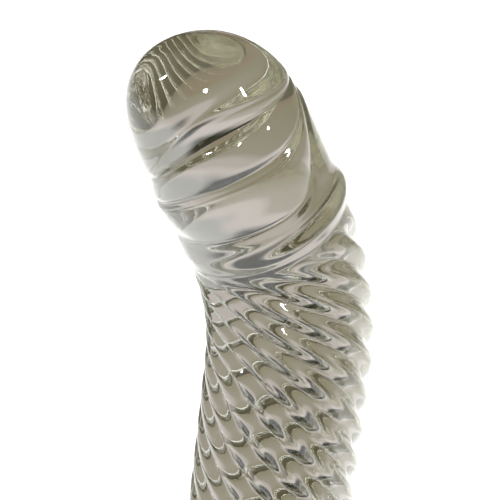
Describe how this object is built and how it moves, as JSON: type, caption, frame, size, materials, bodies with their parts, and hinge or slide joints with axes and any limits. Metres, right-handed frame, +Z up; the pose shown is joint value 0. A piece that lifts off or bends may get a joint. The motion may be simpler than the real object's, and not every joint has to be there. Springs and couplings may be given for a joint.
{
  "type": "glass personal massager",
  "caption": "Adult product: solid clear glass personal massager on a round foot, with a bent, spirally ribbed shaft, an oblique collar and a domed head.",
  "frame": {"origin": "centre of the foot's flat underside, at the height of the surface that it stands on", "axes": "+Z up the straight shaft, -X towards the side that the shaft bends to, +Y to the back, so that the bend lies in the XZ plane"},
  "size_m": [0.0633, 0.05, 0.1775],
  "materials": {
    "clear_glass": "clear fire-polished glass with a faint warm grey tint, high gloss"
  },
  "bodies": {
    "root": {"foot": "clear_glass", "stem": "clear_glass", "straight_shaft": "clear_glass", "bent_shaft": "clear_glass", "neck_ring": "clear_glass", "ridge_collar": "clear_glass", "domed_head": "clear_glass"}
  },
  "joints": []
}
